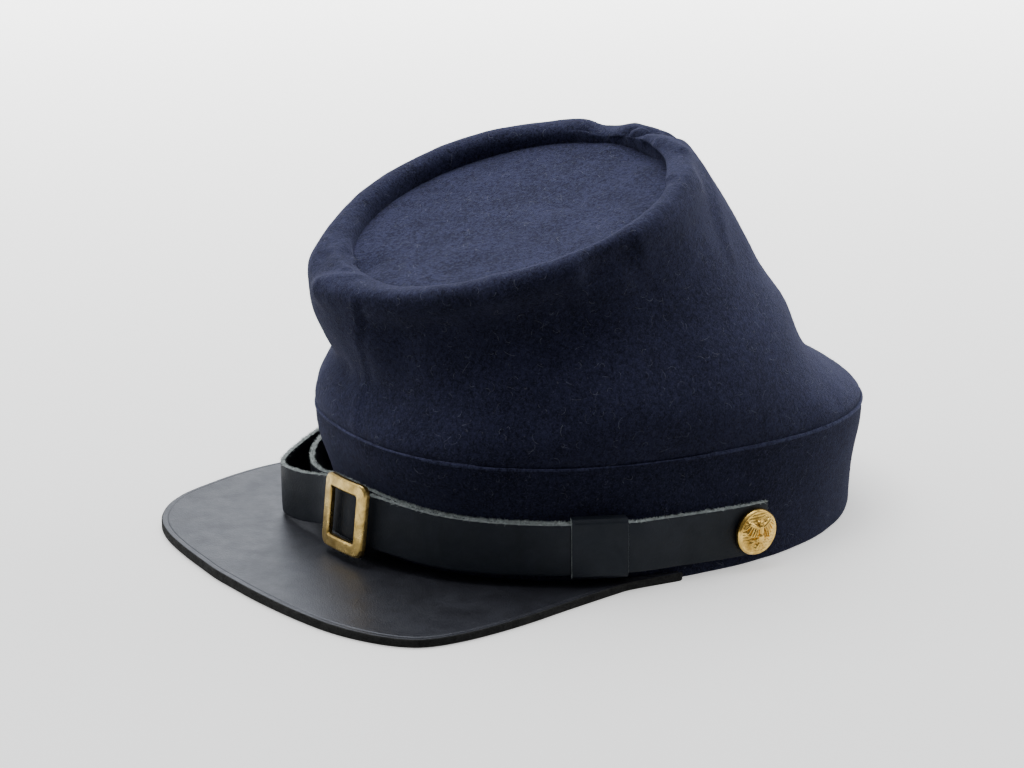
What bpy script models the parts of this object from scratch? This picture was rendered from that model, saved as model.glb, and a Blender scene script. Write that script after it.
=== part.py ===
"""Kepi cap: a wool crown on a wool band, a flat leather visor, and a buckled chin strap.

Metres, +Z up. The visor points to -Y and the wearer's left is +X. The pieces are modelled round the centre
of the band's bottom edge, and the empty that carries them puts the middle of their bounding box on the
origin, at the surface that the cap rests on. Angles round the cap are in degrees: 0 is the wearer's left,
90 the back and -90 the front.
"""
import math
from collections import namedtuple

import bmesh
import bpy
from mathutils import Matrix, Vector

# Clearances and the number of steps round the cap
CLEARANCE = 0.0003
COLUMNS = 72
MERGE = 0.00001

# Cloth of the band and the crown, and the straight edge with which the crown stands on the band
CLOTH = 0.0020
CROWN_HEM = 0.0015

# Band: its bottom edge is one oval, and the seam with the crown is another
BAND_HALF_WIDTH = 0.0851
BAND_HALF_LENGTH = 0.0999
BAND_SQUARENESS = 2.11
SEAM_HALF_WIDTH = 0.0831
SEAM_HALF_LENGTH = 0.1051
SEAM_SQUARENESS = 2.36
SEAM_FORWARD = 0.0020
BAND_HEIGHT = 0.0446
BAND_FRONT_RISE = 0.0035

# Sunken top of the crown
TOP_RADIUS = 0.0605
TOP_HEIGHT = 0.1191
TOP_FORWARD = 0.0359
TOP_TILT = math.radians(16.5)
TOP_LEAN = math.radians(1.9)
TOP_SAG = 0.0015

# Rolled rim round the top. RIM_SHOULDER is the share of its height that stands straight under the roll, and
# RIM_TURNS are the places of the roll's rings, in degrees from the rim's outer side
RIM_WIDTH = 0.0115
RIM_HEIGHT = 0.0080
RIM_SHOULDER = 0.35
RIM_TURNS = (25, 55, 90, 125, 155, 180)

# Depth of the wall's bulges and of its folds, the share of the wall's height over which a fold starts above
# the seam, and the share of the roll over which it ends
WALL_BULGE = 0.0100
FOLD_DEPTH = 0.0060
FOLD_START = 0.17
FOLD_END = 0.71

# Visor
VISOR_THICKNESS = 0.0032
VISOR_HALF_WIDTH = 0.0985
VISOR_REACH = 0.0602
VISOR_ARCH = 0.0008
VISOR_END_WIDTH = 0.0022
VISOR_END = -8.0
VISOR_STEPS = 26
VISOR_LINES = (0, 0.30, 0.65, 1)

# Chin strap, its two layers, and the loop that keeps them together. STRAP_SETTLE is the angle over which a
# layer comes back to what it lies on, and TUCK how far the inner layer reaches into the keeper's far half.
# KEEPER_ROOM is left above and below the strap inside the keeper, which sits KEEPER_LIFT above its middle.
STRAP_WIDTH = 0.0190
STRAP_THICKNESS = 0.0017
STRAP_HEIGHT = 0.0170
STRAP_BOW = 0.0100
STRAP_START = -191.5
STRAP_END = 11.5
STRAP_STEP = 3.2
STRAP_SETTLE = 14.0
STRAP_TESTS = (-0.5, -0.25, 0, 0.25, 0.5)
KEEPER_LENGTH = 0.0195
KEEPER_THICKNESS = 0.0012
KEEPER_PLACE = -24.8
KEEPER_ROOM = 0.0006
KEEPER_LIFT = 0.0003
KEEPER_STEPS = 5
TUCK = 0.6

# Buckle, and the bar across its middle. BUCKLE_SPAN is half of the stretch of strap under it, in degrees
BUCKLE_LENGTH = 0.0256
BUCKLE_HEIGHT = 0.0274
BUCKLE_BAR_WIDTH = 0.0048
BUCKLE_BAR_DEPTH = 0.0024
BUCKLE_CORNER = 0.0034
WINDOW_CORNER = 0.0008
BUCKLE_CHAMFER = 0.00055
BUCKLE_BOW = 0.0012
BUCKLE_PLACE = -83.8
BUCKLE_SPAN = 7.3
BUCKLE_TESTS = (-1, -0.75, -0.5, -0.25, 0, 0.25, 0.5, 0.75, 1)
CENTRE_BAR = 0.0014

# Buttons
BUTTON_RADIUS = 0.0086
BUTTON_HEIGHT = 0.0048
BUTTON_EDGE = 0.0012
BUTTON_LEFT_PLACE = 7.8
BUTTON_RIGHT_PLACE = -187.8
BUTTON_DROP = 0.0003
BUTTON_SIDES = 24

# Share of the way from the band's bottom oval to the seam's oval at a share of the band's height
BandRow = namedtuple("BandRow", "height blend")
BAND_ROWS = (
    BandRow(0.00, 0.00),
    BandRow(0.04, 0.00),
    BandRow(0.30, 0.12),
    BandRow(0.52, 0.35),
    BandRow(0.78, 0.95),
    BandRow(0.93, 1.00),
    BandRow(1.00, 1.00),
)

# Outward bulge of the crown's wall, as shares of WALL_BULGE, at a share of its height from seam to rim
WallRow = namedtuple("WallRow", "height front left back right")
WALL_ROWS = (
    WallRow(0.00, 0.00, 0.00, 0.00, 0.00),
    WallRow(0.05, -0.04, 0.12, -0.14, 0.10),
    WallRow(0.12, -0.22, 0.28, -0.84, 0.20),
    WallRow(0.21, -0.56, 0.34, -1.36, 0.20),
    WallRow(0.31, -0.84, 0.22, -0.98, 0.00),
    WallRow(0.42, -0.66, -0.05, -0.50, -0.10),
    WallRow(0.55, -0.36, -0.36, -0.38, -0.20),
    WallRow(0.68, -0.06, -0.50, -0.10, -0.20),
    WallRow(0.80, 0.00, -0.42, 0.06, -0.16),
    WallRow(0.91, 0.02, -0.18, 0.06, -0.08),
    WallRow(1.00, 0.00, 0.00, 0.00, 0.00),
)

# Height and width of the rolled rim, as shares of RIM_HEIGHT and RIM_WIDTH, round the cap
RimRow = namedtuple("RimRow", "angle height width")
RIM_ROWS = (
    RimRow(-180, 1.00, 1.00),
    RimRow(-150, 0.95, 0.95),
    RimRow(-135, 0.90, 1.12),
    RimRow(-118, 0.80, 1.50),
    RimRow(-95, 0.65, 1.22),
    RimRow(-75, 0.62, 0.92),
    RimRow(-50, 0.80, 0.72),
    RimRow(-25, 0.90, 0.66),
    RimRow(5, 0.88, 0.66),
    RimRow(35, 0.80, 0.74),
    RimRow(65, 0.75, 0.86),
    RimRow(98, 0.74, 0.95),
    RimRow(112, 0.48, 0.90),
    RimRow(122, 0.84, 1.00),
    RimRow(135, 0.78, 1.00),
    RimRow(155, 0.98, 1.00),
    RimRow(180, 1.00, 1.00),
)

# Soft folds of the wall and the rim: where they lie, how far they spread and how deep they are, as a share
# of FOLD_DEPTH. Heights are shares from seam to rim, and run on past 1 over the rim's roll.
Fold = namedtuple("Fold", "angle spread height rise depth")
FOLDS = (
    Fold(-124, 11, 1.18, 0.14, -0.55),
    Fold(-96, 16, 0.98, 0.12, 0.30),
    Fold(112, 8, 1.10, 0.20, -0.35),
    Fold(78, 12, 1.00, 0.25, 0.25),
    Fold(48, 13, 0.80, 0.26, -0.30),
    Fold(-62, 30, 0.70, 0.22, -0.30),
    Fold(-140, 18, 0.10, 0.14, 0.30),
)

# Outer edge of the visor, from the middle of the front to its ends beside the band. Each half follows the
# rows along the share of its run in the first column: how far out it lies, as a share of the visor's half
# width, and how far forward, as a share of the way from the band's centre to the front edge.
EdgeRow = namedtuple("EdgeRow", "run left left_forward right right_forward")
VISOR_EDGE = (
    EdgeRow(0.00, 0.000, 0.998, 0.000, 0.998),
    EdgeRow(0.08, 0.254, 0.980, 0.250, 1.000),
    EdgeRow(0.17, 0.508, 0.950, 0.455, 0.992),
    EdgeRow(0.25, 0.711, 0.912, 0.615, 0.966),
    EdgeRow(0.33, 0.873, 0.855, 0.750, 0.914),
    EdgeRow(0.42, 0.970, 0.790, 0.845, 0.846),
    EdgeRow(0.50, 0.997, 0.712, 0.905, 0.768),
    EdgeRow(0.58, 0.992, 0.618, 0.955, 0.688),
    EdgeRow(0.67, 0.968, 0.518, 0.990, 0.600),
    EdgeRow(0.75, 0.934, 0.425, 0.997, 0.515),
    EdgeRow(0.83, 0.902, 0.331, 0.970, 0.420),
    EdgeRow(0.92, 0.872, 0.237, 0.920, 0.300),
)

# Route of the strap round the band: how far the inner layer bows off the band and the outer one off the
# inner, as shares of STRAP_BOW, and how far the bottom edge leans out and the strap drops, as shares of
# STRAP_WIDTH
StrapRow = namedtuple("StrapRow", "angle bow apart lean drop")
STRAP_ROWS = (
    StrapRow(-200, 0.00, 0.00, 0.00, 0.17),
    StrapRow(-175, 0.00, 0.00, 0.00, 0.12),
    StrapRow(-160, 0.04, 0.02, 0.00, 0.05),
    StrapRow(-148, 0.18, 0.05, 0.00, 0.03),
    StrapRow(-138, 0.40, 0.12, 0.00, 0.03),
    StrapRow(-130, 0.54, 0.22, 0.00, 0.05),
    StrapRow(-123, 0.62, 0.44, 0.00, 0.09),
    StrapRow(-117, 0.63, 0.78, 0.00, 0.13),
    StrapRow(-112, 0.58, 1.00, -0.02, 0.13),
    StrapRow(-108, 0.48, 0.84, 0.02, 0.11),
    StrapRow(-103, 0.34, 0.46, 0.07, 0.08),
    StrapRow(-97, 0.14, 0.14, 0.10, -0.04),
    StrapRow(-88, 0.08, 0.04, 0.12, -0.14),
    StrapRow(-76, 0.02, 0.02, 0.14, -0.12),
    StrapRow(-60, 0.00, 0.00, 0.12, -0.03),
    StrapRow(-44, 0.00, 0.00, 0.05, 0.00),
    StrapRow(-26, 0.00, 0.00, 0.00, 0.00),
    StrapRow(-10, 0.00, 0.00, 0.00, 0.08),
    StrapRow(8, 0.00, 0.00, 0.00, 0.17),
    StrapRow(20, 0.00, 0.00, 0.00, 0.22),
)

# Looks of the materials: colour, roughness, metallic
NAVY_WOOL = ("navy_wool", (0.010, 0.012, 0.034), 0.95, 0.0)
NAVY_WOOL_TOP = ("navy_wool_top", (0.013, 0.016, 0.045), 0.95, 0.0)
NAVY_WOOL_BAND = ("navy_wool_band", (0.009, 0.011, 0.030), 0.95, 0.0)
VISOR_LEATHER = ("visor_leather", (0.012, 0.013, 0.017), 0.32, 0.0)
STRAP_LEATHER = ("strap_leather", (0.010, 0.012, 0.018), 0.45, 0.0)
INNER_LEATHER = ("inner_strap_leather", (0.011, 0.013, 0.018), 0.55, 0.0)
KEEPER_LEATHER = ("keeper_leather", (0.012, 0.014, 0.020), 0.42, 0.0)
BRASS = ("brushed_brass", (0.63, 0.42, 0.15), 0.32, 1.0)
GILT_LEFT = ("gilt_left", (0.78, 0.50, 0.14), 0.24, 1.0)
GILT_RIGHT = ("gilt_right", (0.78, 0.50, 0.14), 0.24, 1.0)


# Tables and curves

def cubic(before, start, end, after, share):
    """Value of a smooth curve between start and end, which passes through its neighbours too."""
    return 0.5 * (2 * start + (end - before) * share
                  + (2 * before - 5 * start + 4 * end - after) * share ** 2
                  + (3 * start - before - 3 * end + after) * share ** 3)


def from_table(rows, key, column, place):
    """Value of one column of a table at a place along its key column, on a smooth curve through the rows."""
    keys = [getattr(row, key) for row in rows]
    values = [getattr(row, column) for row in rows]
    place = min(max(place, keys[0]), keys[-1])
    last = len(rows) - 2
    index = next((i for i in range(last) if place < keys[i + 1]), last)
    share = (place - keys[index]) / (keys[index + 1] - keys[index])
    before = values[max(index - 1, 0)]
    after = values[min(index + 2, last + 1)]
    return cubic(before, values[index], values[index + 1], after, share)


def signed_power(value, power):
    return math.copysign(abs(value) ** power, value)


def wrapped(angle):
    """The same angle from -180 to 180 degrees."""
    return (angle + 180) % 360 - 180


def around():
    """The columns' angles, once round the cap."""
    return [360 * i / COLUMNS - 180 for i in range(COLUMNS)]


# Band and seam

def oval(half_width, half_length, squareness, angle):
    t = math.radians(angle)
    power = 2 / squareness
    across = half_width * signed_power(math.cos(t), power)
    return Vector((across, half_length * signed_power(math.sin(t), power), 0))


def seam_height(angle):
    return BAND_HEIGHT - BAND_FRONT_RISE * math.sin(math.radians(angle))


def band_point(angle, share):
    """A point of the band's outer face at a share of its height."""
    low = oval(BAND_HALF_WIDTH, BAND_HALF_LENGTH, BAND_SQUARENESS, angle)
    high = oval(SEAM_HALF_WIDTH, SEAM_HALF_LENGTH, SEAM_SQUARENESS, angle) - Vector((0, SEAM_FORWARD, 0))
    point = low.lerp(high, from_table(BAND_ROWS, "height", "blend", share))
    point.z = share * seam_height(angle)
    return point


def outward(curve, angle):
    """Level direction away from the cap, square to a curve round it."""
    step = 0.5
    run = curve(angle + step) - curve(angle - step)
    return Vector((run.y, -run.x, 0)).normalized()


def bottom_line(angle):
    return band_point(angle, 0)


def seam_line(angle):
    return band_point(angle, 1)


# Crown

def top_frame():
    """Centre of the sunken top, its directions to the wearer's left and to the back, and its upright."""
    centre = Vector((0, -TOP_FORWARD, TOP_HEIGHT))
    across = Vector((math.cos(TOP_LEAN), 0, -math.sin(TOP_LEAN)))
    back = Vector((0, math.cos(TOP_TILT), math.sin(TOP_TILT)))
    return centre, across, back, across.cross(back).normalized()


def top_edge(angle, radius):
    """A point of the circle round the top's centre, and the direction to it from the centre."""
    centre, across, back, upright = top_frame()
    t = math.radians(angle)
    radial = across * math.cos(t) + back * math.sin(t)
    return centre + radial * radius, radial


def rim_point(angle, turn):
    """A point of the rolled rim: turn 0 is its outer side, 90 its crest and 180 its side to the top."""
    edge, radial = top_edge(angle, TOP_RADIUS)
    upright = top_frame()[3]
    height = RIM_HEIGHT * from_table(RIM_ROWS, "angle", "height", wrapped(angle))
    half = RIM_WIDTH * from_table(RIM_ROWS, "angle", "width", wrapped(angle)) / 2
    t = math.radians(turn)
    middle = edge + radial * half + upright * height * RIM_SHOULDER
    return middle + radial * half * math.cos(t) + upright * height * (1 - RIM_SHOULDER) * math.sin(t)


def wall_bulge(angle, share):
    """Outward bulge of the wall: the front, back and side columns of the table, blended round the cap."""
    t = math.radians(angle)
    weights = {
        "left": max(math.cos(t), 0) ** 2,
        "right": max(-math.cos(t), 0) ** 2,
        "back": max(math.sin(t), 0) ** 2,
        "front": max(-math.sin(t), 0) ** 2,
    }
    shift = sum(weight * from_table(WALL_ROWS, "height", side, share) for side, weight in weights.items())
    return WALL_BULGE * shift


def fold_shift(angle, share):
    """Outward shift of the cloth by the folds that reach this place."""
    shift = 0
    for fold in FOLDS:
        across = wrapped(angle - fold.angle) / fold.spread
        along = (share - fold.height) / fold.rise
        shift += fold.depth * math.exp(-across ** 2 - along ** 2)
    return FOLD_DEPTH * shift


def wall_point(angle, share):
    """A point of the wall's outer face at a share of the way from the seam to the rim's outer side."""
    seam = band_point(angle, 1) + Vector((0, 0, CLEARANCE + CROWN_HEM))
    rim = rim_point(angle, 0)
    away = outward(seam_line, angle).lerp(top_edge(angle, TOP_RADIUS)[1], share).normalized()
    fold = fold_shift(angle, share) * min(share / FOLD_START, 1)
    return seam.lerp(rim, share) + away * (wall_bulge(angle, share) + fold)


def roll_point(angle, turn):
    """A point of the rim's roll, with the folds that reach it."""
    share = turn / 180
    fold = fold_shift(angle, 1 + share) * max(1 - share / FOLD_END, 0)
    return rim_point(angle, turn) + top_edge(angle, TOP_RADIUS)[1] * fold


# Building in Blender

def remove_everything():
    for item in list(bpy.data.objects):
        bpy.data.objects.remove(item, do_unlink=True)


def new_collection(name):
    collection = bpy.data.collections.new(name)
    bpy.context.scene.collection.children.link(collection)
    return collection


def new_material(look):
    name, colour, roughness, metallic = look
    material = bpy.data.materials.new(name)
    material.use_nodes = True
    shader = material.node_tree.nodes["Principled BSDF"]
    shader.inputs["Base Color"].default_value = (*colour, 1)
    shader.inputs["Roughness"].default_value = roughness
    shader.inputs["Metallic"].default_value = metallic
    return material


def add_object(name, mesh, collection, look):
    piece = bpy.data.objects.new(name, mesh)
    collection.objects.link(piece)
    mesh.materials.append(new_material(look))
    mesh.shade_smooth()
    mesh.set_sharp_from_angle(angle=math.radians(40))
    return piece


def loft(name, rings, closed):
    """A mesh through rings of points. Its faces point to the right of each ring, seen from the next one."""
    shape = bmesh.new()
    rows = [[shape.verts.new(point) for point in ring] for ring in rings]
    count = len(rings[0])
    for low, high in zip(rows, rows[1:]):
        for i in range(count if closed else count - 1):
            k = (i + 1) % count
            shape.faces.new((low[i], low[k], high[k], high[i]))
    mesh = bpy.data.meshes.new(name)
    shape.to_mesh(mesh)
    shape.free()
    return mesh


def add_turned(name, profile, steps, collection, look):
    """A body turned about its Z axis, from a profile that runs from the top's middle to the bottom's."""
    mesh = bpy.data.meshes.new(name)
    mesh.from_pydata(profile, [(i, i + 1) for i in range(len(profile) - 1)], [])
    piece = add_object(name, mesh, collection, look)
    turned = piece.modifiers.new("Turned", "SCREW")
    turned.steps = turned.render_steps = steps
    turned.use_merge_vertices = True
    turned.merge_threshold = MERGE
    return piece


def thicken(piece, thickness, offset):
    solidify = piece.modifiers.new("Thickness", "SOLIDIFY")
    solidify.thickness = thickness
    solidify.offset = offset


# Cloth pieces

def add_band(collection):
    rings = []
    for row in BAND_ROWS:
        rings.append([band_point(angle, row.height) for angle in around()])
    band = add_object("band", loft("band", rings, True), collection, NAVY_WOOL_BAND)
    thicken(band, CLOTH, -1)
    return band


def add_crown_side(collection):
    """The wall from its hem on the band up to the rim, the rim's roll, and the edge round the sunken top."""
    foot = [wall_point(angle, 0) - Vector((0, 0, CROWN_HEM)) for angle in around()]
    rings = [foot]
    for row in WALL_ROWS:
        rings.append([wall_point(angle, row.height) for angle in around()])
    for turn in RIM_TURNS:
        rings.append([roll_point(angle, turn) for angle in around()])
    down = top_frame()[3] * (CLOTH + RIM_HEIGHT * RIM_SHOULDER)
    rings.append([point - down for point in rings[-1]])
    side = add_object("crown_side", loft("crown_side", rings, True), collection, NAVY_WOOL)
    thicken(side, CLOTH, -1)
    return side


def add_crown_top(collection):
    """The sunken disc, a little lower in its middle than along its edge."""
    radius = TOP_RADIUS - CLEARANCE
    profile = [(radius * share, 0, -TOP_SAG * (1 - share ** 2)) for share in (0, 0.4, 0.75, 1)]
    profile += [(radius, 0, -CLOTH), (0, 0, -CLOTH - TOP_SAG)]
    top = add_turned("crown_top", profile, COLUMNS, collection, NAVY_WOOL_TOP)
    centre, across, back, upright = top_frame()
    top.matrix_world = Matrix.Translation(centre) @ Matrix((across, back, upright)).transposed().to_4x4()
    return top


# Visor

def visor_edge(half, run):
    """A point of the visor's outer edge, from 0 at the middle of the front to 1 where it meets the band."""
    across = VISOR_HALF_WIDTH * from_table(VISOR_EDGE, "run", half, run)
    forward = (BAND_HALF_LENGTH + VISOR_REACH) * from_table(VISOR_EDGE, "run", half + "_forward", run)
    last = VISOR_EDGE[-1].run
    end = bottom_line(VISOR_END) + outward(bottom_line, VISOR_END) * VISOR_END_WIDTH
    return Vector((across, -forward, 0)).lerp(end, max(run - last, 0) / (1 - last))


def visor_line(half, run):
    """Points across one half of the visor, left or right, from the band out."""
    angle = -90 + (90 + VISOR_END) * run
    room = outward(bottom_line, angle)
    inner = bottom_line(angle) + room * CLEARANCE
    outer = visor_edge(half, run)
    outer += room * max(VISOR_END_WIDTH - (outer - inner).dot(room), 0)
    points = []
    for share in VISOR_LINES:
        point = inner.lerp(outer, share)
        ahead = max(-point.y / (BAND_HALF_LENGTH + VISOR_REACH), 0)
        beside = min(point.x / VISOR_HALF_WIDTH, 1)
        point.z = VISOR_THICKNESS + VISOR_ARCH * (1 - beside ** 2) * ahead
        if half == "right":
            point.x = -point.x
        points.append(point)
    return points


def add_visor(collection):
    lines = []
    for i in range(-VISOR_STEPS, VISOR_STEPS + 1):
        lines.append(visor_line("right" if i < 0 else "left", abs(i) / VISOR_STEPS))
    visor = add_object("visor", loft("visor", lines, False), collection, VISOR_LEATHER)
    thicken(visor, VISOR_THICKNESS, -1)
    return visor


# Chin strap

def smooth_step(share):
    share = min(max(share, 0), 1)
    return share * share * (3 - 2 * share)


def keeper_reach():
    """Half of the keeper's length, in degrees round the cap."""
    run = (band_point(KEEPER_PLACE + 1, 0) - band_point(KEEPER_PLACE, 0)).length
    return KEEPER_LENGTH / run / 2


def strap_off(angle, layer):
    """How far one layer's inner face stands off the band."""
    reach = keeper_reach()
    past = abs(angle - KEEPER_PLACE) - reach
    off = CLEARANCE + (1 - smooth_step(past / STRAP_SETTLE)) * (KEEPER_THICKNESS + CLEARANCE)
    off += STRAP_BOW * max(from_table(STRAP_ROWS, "angle", "bow", angle), 0)
    if layer == "outer":
        under = 1 - smooth_step((angle - KEEPER_PLACE - reach) / STRAP_SETTLE)
        off += under * (STRAP_THICKNESS + CLEARANCE)
        off += STRAP_BOW * max(from_table(STRAP_ROWS, "angle", "apart", angle), 0)
        off += (1 - smooth_step(abs(angle - BUCKLE_PLACE) / STRAP_SETTLE)) * (CENTRE_BAR + CLEARANCE)
    return off


def strap_line(angle):
    """The band's outer face at the height of the strap's middle."""
    return band_point(angle, STRAP_HEIGHT / seam_height(angle))


def strap_upright(angle):
    """Direction up the strap, which leans with the table's share of its width."""
    lean = from_table(STRAP_ROWS, "angle", "lean", angle)
    return (Vector((0, 0, 1)) - outward(strap_line, angle) * lean).normalized()


def strap_proud(angle, drop):
    """How far the band stands out past the strap's own plane, anywhere behind the strap."""
    away = outward(strap_line, angle)
    upright = strap_upright(angle)
    proud = 0
    for share in STRAP_TESTS:
        face = strap_line(angle) + upright * (STRAP_WIDTH * share - drop)
        band = band_point(angle, max(face.z, 0) / seam_height(angle))
        proud = max(proud, (band - face).dot(away))
    return proud


def strap_point(angle, layer, up=0, out=0):
    """A point of a layer: up is from its middle, in metres, and out is from its inner face."""
    drop = STRAP_WIDTH * from_table(STRAP_ROWS, "angle", "drop", angle)
    off = strap_proud(angle, drop) + strap_off(angle, layer) + out
    return strap_line(angle) + outward(strap_line, angle) * off + strap_upright(angle) * (up - drop)


def strap_mesh(name, start, end, layer):
    steps = round((end - start) / STRAP_STEP)
    angles = [start + (end - start) * i / steps for i in range(steps + 1)]
    rings = [[strap_point(angle, layer, STRAP_WIDTH * up) for angle in angles] for up in (-0.5, 0, 0.5)]
    return loft(name, rings, False)


def add_strap_long(collection):
    mesh = strap_mesh("strap_long", STRAP_START, STRAP_END, "outer")
    strap = add_object("strap_long", mesh, collection, STRAP_LEATHER)
    thicken(strap, STRAP_THICKNESS, 1)
    return strap


def add_strap_short(collection):
    mesh = strap_mesh("strap_short", STRAP_START, KEEPER_PLACE + keeper_reach() * TUCK, "inner")
    strap = add_object("strap_short", mesh, collection, INNER_LEATHER)
    thicken(strap, STRAP_THICKNESS, 1)
    return strap


def add_keeper(collection):
    """A loop round both layers: its inside face, thickened outwards."""
    half = STRAP_WIDTH / 2 + KEEPER_ROOM
    corner = KEEPER_THICKNESS / 2
    rings = []
    for i in range(KEEPER_STEPS + 1):
        angle = KEEPER_PLACE + keeper_reach() * (2 * i / KEEPER_STEPS - 1)
        back = -CLEARANCE
        front = strap_off(angle, "outer") - strap_off(angle, "inner") + STRAP_THICKNESS + CLEARANCE
        outline = (
            (back + corner, half), (front - corner, half), (front, half - corner), (front, corner - half),
            (front - corner, -half), (back + corner, -half), (back, corner - half), (back, half - corner),
        )
        rings.append([strap_point(angle, "inner", up + KEEPER_LIFT, out) for out, up in outline])
    keeper = add_object("keeper", loft("keeper", rings, True), collection, KEEPER_LEATHER)
    thicken(keeper, KEEPER_THICKNESS, 1)
    return keeper


# Buckle

def buckle_frame():
    """The buckle's place on the outer layer: its origin, and its length, outward and upright directions."""
    left = strap_point(BUCKLE_PLACE + BUCKLE_SPAN, "outer", 0, STRAP_THICKNESS)
    right = strap_point(BUCKLE_PLACE - BUCKLE_SPAN, "outer", 0, STRAP_THICKNESS)
    along = (left - right).normalized()
    out = along.cross(strap_upright(BUCKLE_PLACE)).normalized()
    upright = out.cross(along)
    middle = strap_point(BUCKLE_PLACE, "outer", 0, STRAP_THICKNESS)
    proud = 0
    for share in BUCKLE_TESTS:
        place = strap_point(BUCKLE_PLACE + BUCKLE_SPAN * share, "outer", 0, STRAP_THICKNESS)
        proud = max(proud, (place - middle).dot(out))
    return middle + out * (proud + CLEARANCE), along, out, upright


def frame_outline(half_length, half_height, radius):
    """Points round a rectangle with rounded corners, with a few along its upper and lower sides."""
    points = []
    for sign_x, sign_y, first in ((1, 1, 0), (-1, 1, 90), (-1, -1, 180), (1, -1, 270)):
        for turn in range(0, 91, 30):
            t = math.radians(first + turn)
            points.append((sign_x * (half_length - radius) + radius * math.cos(t),
                           sign_y * (half_height - radius) + radius * math.sin(t)))
        if first in (0, 180):
            for share in (0.5, 0, -0.5):
                points.append((sign_x * (half_length - radius) * share, sign_y * half_height))
    return points


def frame_section():
    """The buckle's bar in section: the share of its width from its inner side, and its depth from the back."""
    slope = BUCKLE_CHAMFER / BUCKLE_BAR_WIDTH
    front = BUCKLE_BAR_DEPTH
    return (
        (0, 0), (1, 0),
        (1, front - BUCKLE_CHAMFER), (1 - slope, front),
        (slope, front), (0, front - BUCKLE_CHAMFER),
    )


def frame_mesh(half_length, half_height):
    """The rectangular frame between its outer outline and its window, bowed outwards along its length."""
    outer = frame_outline(half_length, half_height, BUCKLE_CORNER)
    window = frame_outline(half_length - BUCKLE_BAR_WIDTH, half_height - BUCKLE_BAR_WIDTH, WINDOW_CORNER)
    rings = []
    for (outer_x, outer_z), (inner_x, inner_z) in zip(outer, window):
        ring = []
        for share, depth in frame_section():
            x = inner_x + (outer_x - inner_x) * share
            bow = BUCKLE_BOW * (1 - (x / half_length) ** 2)
            ring.append(Vector((x, depth + bow, inner_z + (outer_z - inner_z) * share)))
        rings.append(ring)
    return loft("buckle", rings + rings[:1], True)


def weld(mesh):
    """Joins the points of a mesh that lie on each other, and points its faces outwards."""
    shape = bmesh.new()
    shape.from_mesh(mesh)
    bmesh.ops.remove_doubles(shape, verts=shape.verts, dist=MERGE)
    bmesh.ops.recalc_face_normals(shape, faces=shape.faces)
    shape.to_mesh(mesh)
    shape.free()


def bent_rod(name, route, thickness, collection):
    """A round rod along a route, as a mesh."""
    curve = bpy.data.curves.new(name, "CURVE")
    curve.dimensions = "3D"
    curve.bevel_depth = thickness / 2
    curve.bevel_resolution = 2
    curve.use_fill_caps = True
    spline = curve.splines.new("POLY")
    spline.points.add(len(route) - 1)
    for target, point in zip(spline.points, route):
        target.co = (*point, 1)
    source = bpy.data.objects.new(name, curve)
    collection.objects.link(source)
    graph = bpy.context.evaluated_depsgraph_get()
    mesh = bpy.data.meshes.new_from_object(source.evaluated_get(graph))
    bpy.data.objects.remove(source, do_unlink=True)
    mesh.materials.clear()
    weld(mesh)
    rod = bpy.data.objects.new(name, mesh)
    collection.objects.link(rod)
    return rod


def add_centre_bar(half_height, deep, collection):
    """The bar that goes back from the frame's top, down between the strap's layers and out again."""
    front = BUCKLE_BAR_DEPTH / 2 + BUCKLE_BOW
    beside = STRAP_WIDTH / 2 + CLEARANCE * 2 + CENTRE_BAR / 2
    route = ((0, front, half_height), (0, -deep, beside), (0, -deep, -beside), (0, front, -half_height))
    bar = bent_rod("centre_bar", route, CENTRE_BAR, collection)
    bar.hide_render = True
    bar.display_type = "WIRE"
    return bar


def add_buckle(collection, cutters):
    """A bowed rectangular frame, joined to a centre bar that passes behind the strap's outer layer."""
    mesh = frame_mesh(BUCKLE_LENGTH / 2, BUCKLE_HEIGHT / 2)
    weld(mesh)
    buckle = add_object("buckle", mesh, collection, BRASS)
    origin, along, out, upright = buckle_frame()
    buckle.matrix_world = Matrix.Translation(origin) @ Matrix((along, out, upright)).transposed().to_4x4()
    back_face = strap_point(BUCKLE_PLACE, "outer")
    deep = (origin - back_face).dot(out) + CLEARANCE + CENTRE_BAR / 2
    bar = add_centre_bar((BUCKLE_HEIGHT - BUCKLE_BAR_WIDTH) / 2, deep, cutters)
    bar.matrix_world = buckle.matrix_world
    join = buckle.modifiers.new("Centre bar", "BOOLEAN")
    join.operation = "UNION"
    join.object = bar
    return buckle, bar


# Buttons

def add_button(name, angle, collection, look):
    """A dome on a short straight edge, set on the strap's outer face."""
    profile = [(0, 0, BUTTON_HEIGHT)]
    for turn in range(75, -1, -15):
        t = math.radians(turn)
        height = BUTTON_EDGE + (BUTTON_HEIGHT - BUTTON_EDGE) * math.sin(t)
        profile.append((BUTTON_RADIUS * math.cos(t), 0, height))
    profile += [(BUTTON_RADIUS, 0, 0), (0, 0, 0)]
    button = add_turned(name, profile, BUTTON_SIDES, collection, look)
    away = outward(strap_line, angle)
    upright = Vector((0, 0, 1))
    side = upright.cross(away)
    place = strap_point(angle, "outer", -BUTTON_DROP, STRAP_THICKNESS + CLEARANCE)
    turn = Matrix((side, upright, away)).transposed().to_4x4()
    button.matrix_world = Matrix.Translation(place) @ turn
    return button


# Assembly

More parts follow.
